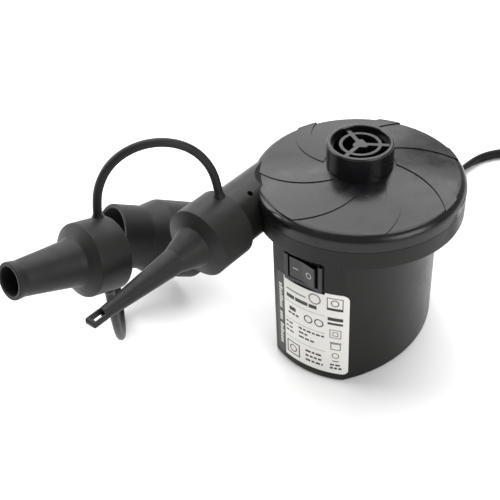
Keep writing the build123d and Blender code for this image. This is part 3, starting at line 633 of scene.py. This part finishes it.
def on_rocker(x, z, height):
    """A point over the rocker's two dished faces, tilted with it."""
    dish = (1 - abs(x) / ROCKER_HALF_W) * ROCKER_DISH
    level = Vector((x, ROCKER_FACE_Y + dish + PRINT_SINK - height, z))
    pivot = Vector((0, ROCKER_PIVOT_Y, 0))
    return pivot + Matrix.Rotation(-ROCKER_TILT, 3, "Z") @ (level - pivot)


def print_on_label(name, shapes, ink, lift):
    """Print that follows the round front, cut into narrow strips to do so."""
    count = int((PRINT_HIGH - PRINT_LOW) / PRINT_STRIP)
    cuts = [PRINT_LOW + PRINT_STRIP * step for step in range(count)]
    thin_print(name, shapes, INKS[ink], lift, "pump", on_label, cuts)


def bar(u0, z0, u1, z1):
    """A filled box."""
    return [(u0, z0), (u1, z0), (u1, z1), (u0, z1)]


def frame_shapes(u0, z0, u1, z1, w):
    """The four bars of an outlined box."""
    return [bar(u0, z0, u1, z0 + w), bar(u0, z1 - w, u1, z1), bar(u0, z0 + w, u0 + w, z1 - w),
            bar(u1 - w, z0 + w, u1, z1 - w)]


def ring_shapes(u, z, outer, inner):
    """A round ring as short four-sided pieces."""
    shapes = []
    for step in range(RING_STEPS):
        a, b = 2 * pi * step / RING_STEPS, 2 * pi * (step + 1) / RING_STEPS
        shapes.append([(u + outer * cos(a), z + outer * sin(a)), (u + outer * cos(b), z + outer * sin(b)),
                       (u + inner * cos(b), z + inner * sin(b)), (u + inner * cos(a), z + inner * sin(a))])
    return shapes


def greeked(draw, u0, u1, z, height):
    """A line of blocks that stands for a line of small print."""
    shapes = []
    u = u0
    while u < u1 - LEAST_WORD:
        end = min(u + draw.uniform(*WORD_LENGTHS), u1)
        shapes.append(bar(u, z, end, z + height))
        u = end + WORD_GAP
    return shapes


def label_print():
    """Rules, blocks of greeked print and plain outlined signs, in (arc length, height)."""
    draw = random.Random(PRINT_SEED)
    black, grey, white = [], [], []

    # Rules across the label, then a heading of blocks, a ring and a rule.
    for z in (43.8, 32.1, 19.6):
        grey.append(bar(-11.6, z, 12.6, z + RULE))
    for u, width in ((-10.4, 5.2), (-4.5, 7.4), (3.6, 4.4)):
        black.append(bar(u, 46.6, u + width, 48.9))
    grey += ring_shapes(6.9, 53.2, 3.4, 2.6)
    grey.append(bar(-10.4, 51.6, 1.8, 52.5))

    # Second field: a small block over a line, and two rings.
    black.append(bar(-8.6, 38.8, -4.4, 41.2))
    black += greeked(draw, -9.4, -2.6, 36.2, 1.2)
    black += ring_shapes(3.2, 38.2, 2.5, 1.9) + ring_shapes(9.2, 38.2, 2.5, 1.9)

    # Third field: three lines in two columns.
    for z, end in ((29.2, 12.0), (26.3, 3.8), (23.4, 7.4)):
        black += greeked(draw, -11.2, -5.6, z, 1.05)
        black += greeked(draw, -2.6, end, z, 1.15)

    # Bottom field: a boxed ring and three lines.
    black += frame_shapes(-10.9, 8.2, -2.2, 17.0, 0.65) + ring_shapes(-6.55, 12.6, 2.4, 1.8)
    for z in (15.4, 12.2, 9.0):
        black += greeked(draw, 1.4, 11.4, z, 1.3)

    # Column of signs down the right side, with two lines below it.
    black += frame_shapes(13.4, 48.6, 21.6, 56.6, 0.4)
    black += [bar(13.8, 48.9, 21.2, 50.2)] + ring_shapes(17.5, 53.4, 2.1, 1.6)
    black += [bar(13.8, 41.9, 21.6, 44.0), bar(13.8, 39.2, 21.6, 40.6)]
    black += frame_shapes(14.9, 30.4, 20.8, 36.0, 0.35) + frame_shapes(16.4, 31.8, 19.3, 34.6, 0.35)
    black += frame_shapes(15.4, 22.3, 20.6, 26.6, 0.4) + [bar(15.0, 26.9, 21.0, 27.4)]
    black += ring_shapes(18.0, 18.2, 1.9, 1.5) + [bar(16.4, 14.0, 19.7, 14.6)]
    black += greeked(draw, 15.2, 20.8, 11.0, 1.1) + greeked(draw, 15.2, 21.2, 8.6, 1.3)

    # Upright blocks along the dark band.
    for start, end in ((11.0, 24.6), (27.2, 33.0), (35.6, 50.6)):
        z = start
        while z < end:
            height = draw.uniform(*LETTER_HEIGHTS)
            tall = draw.choice(LETTER_TALLS)
            white.append(bar(BAND_TEXT_U, z, BAND_TEXT_U + tall, z + height))
            z += height + LETTER_GAP

    print_on_label("label_black_print", black, "black_ink", PRINT_LIFT)
    print_on_label("label_grey_print", grey, "grey_ink", PRINT_LIFT)
    print_on_label("label_band_print", white, "white_ink", OVERPRINT_LIFT)


def rocker_marks():
    """The line and the ring on the rocker's two faces."""
    shapes = [bar(-5.6, SWITCH_Z - RULE, -2.4, SWITCH_Z + RULE)] + ring_shapes(4.2, SWITCH_Z, 1.7, 1.3)
    thin_print("rocker_marks", shapes, INKS["white_ink"], PRINT_LIFT, "rocker", on_rocker)


print_on_label("label_band", [bar(BAND_U[0], 5.6, BAND_U[1], 58.9)], "band_film", PRINT_LIFT)
label_print()
rocker_marks()


# ---------------------------------------------------------------- floor and light

FLOOR_HALF = 6.0
ROOM_STRENGTH = 0.42
LIT_POINT = (-0.02, 0, 0.05)
SOFTBOXES = [
    # name, place, size, watts
    ("overhead", (-0.35, 0.45, 1.15), (1.5, 1.3), 22),
    ("behind", (-1.6, 1.35, 0.85), (2.0, 1.4), 13),
    ("left", (-1.3, -0.5, 0.75), (0.9, 0.9), 14),
    ("right", (1.3, -0.1, 0.75), (0.9, 0.9), 12),
]


def floor():
    """A plain pale floor."""
    corners = [(-FLOOR_HALF, -FLOOR_HALF, 0), (FLOOR_HALF, -FLOOR_HALF, 0), (FLOOR_HALF, FLOOR_HALF, 0),
               (-FLOOR_HALF, FLOOR_HALF, 0)]
    mesh = bpy.data.meshes.new("floor")
    mesh.from_pydata(corners, [], [(0, 1, 2, 3)])
    material, tree, shader = new_material("floor_paper")
    shader.inputs["Roughness"].default_value = 0.9
    shader.inputs["Specular IOR Level"].default_value = 0.0
    patches = ranged(tree, noise(tree, 6, 2.0), 0.0, 1.0)
    tone = mixed(tree, patches, (0.95, 0.95, 0.95), (0.97, 0.97, 0.97))
    tree.links.new(tone, shader.inputs["Base Color"])
    add_piece("floor", mesh, material)


def softbox(name, place, size, power):
    """A wide studio light aimed at the object, in metres and watts."""
    data = bpy.data.lights.new(name, "AREA")
    data.shape = "RECTANGLE"
    data.size, data.size_y = size
    data.energy = power
    light = bpy.data.objects.new(name, data)
    light.location = place
    light.rotation_mode = "QUATERNION"
    light.rotation_quaternion = (Vector(LIT_POINT) - Vector(place)).to_track_quat("-Z", "Y")
    bpy.context.scene.collection.objects.link(light)


def studio():
    """Wide soft light from above and behind, weaker light from both sides, in a pale room."""
    world = bpy.data.worlds.new("room")
    world.use_nodes = True
    background = world.node_tree.nodes["Background"]
    background.inputs["Color"].default_value = (1.0, 1.0, 1.0, 1)
    background.inputs["Strength"].default_value = ROOM_STRENGTH
    bpy.context.scene.world = world
    for light in SOFTBOXES:
        softbox(*light)
    bpy.context.scene.view_settings.view_transform = "Standard"


floor()
studio()
